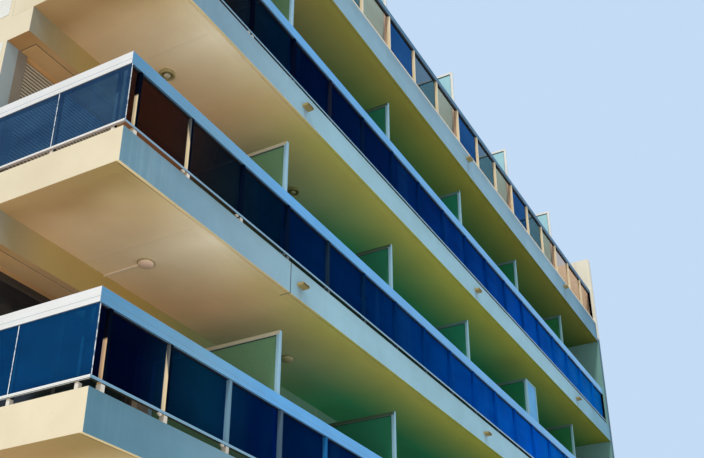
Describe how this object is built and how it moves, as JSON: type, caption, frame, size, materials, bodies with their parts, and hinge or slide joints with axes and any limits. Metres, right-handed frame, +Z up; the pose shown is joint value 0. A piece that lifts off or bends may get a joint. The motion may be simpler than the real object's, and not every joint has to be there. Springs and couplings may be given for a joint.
{
  "type": "apartment block",
  "caption": "Apartment block with continuous corner balconies, smoked glass balustrades, frosted dividers, glazed fronts and an end wall that closes the balconies; hollow storeys, flat roof.",
  "frame": {"origin": "centre of the building's outline, at ground level", "axes": "+X along the balcony front to the right, +Y from the balcony front to the rear, +Z up"},
  "size_m": [18.22, 10.61, 16.18],
  "materials": {
    "cream_render": "painted fine render on concrete",
    "soffit_paint": "painted fair-faced concrete",
    "white_render": "white painted render",
    "roof_screed": "gravel and screed",
    "rail_aluminium": "satin lacquered, fine lengthwise lines",
    "coping_metal": "folded sheet",
    "window_aluminium": "lacquered",
    "shutter_slats": "lacquered slats",
    "smoked_glass": "smoked laminated glass",
    "window_glass": "clear glass",
    "frosted_pane": "obscured glass",
    "spout_paint": "weathered ochre paint",
    "light_housing": "aged plastic with a domed lens"
  },
  "bodies": {
    "root": {"ground_slab": "roof_screed", "floor_slab_1": "soffit_paint", "floor_slab_2": "soffit_paint", "floor_slab_3": "soffit_paint", "floor_slab_4": "soffit_paint", "balcony_fascia_1": "cream_render", "balcony_fascia_2": "cream_render", "balcony_fascia_3": "cream_render", "balcony_fascia_4": "cream_render", "roof_slab": "roof_screed", "roof_parapets": "cream_render", "parapet_coping": "coping_metal", "front_beams": "cream_render", "front_lintels": "cream_render", "front_piers": "cream_render", "gable_wall_left": "cream_render", "gable_wall_right": "cream_render", "gable_panels": "white_render", "rear_wall_ground": "cream_render", "rear_wall_1": "cream_render", "rear_wall_2": "cream_render", "rear_wall_3": "cream_render", "rear_wall_4": "cream_render", "sliding_door_frames": "window_aluminium", "sliding_door_glass": "window_glass", "ground_door_frames": "window_aluminium", "ground_door_glass": "window_glass", "rear_window_frames": "window_aluminium", "rear_window_glass": "window_glass", "roller_shutter": "shutter_slats", "top_rail_1": "rail_aluminium", "top_rail_2": "rail_aluminium", "top_rail_3": "rail_aluminium", "top_rail_4": "rail_aluminium", "bottom_rails": "rail_aluminium", "balustrade_posts": "rail_aluminium", "balustrade_glass_1": "smoked_glass", "balustrade_glass_2": "smoked_glass", "balustrade_glass_3": "smoked_glass", "balustrade_glass_4": "smoked_glass", "divider_frames": "rail_aluminium", "divider_panes": "frosted_pane", "balcony_screen": "rail_aluminium", "drain_spouts": "spout_paint", "ceiling_lights": "light_housing"}
  },
  "joints": []
}
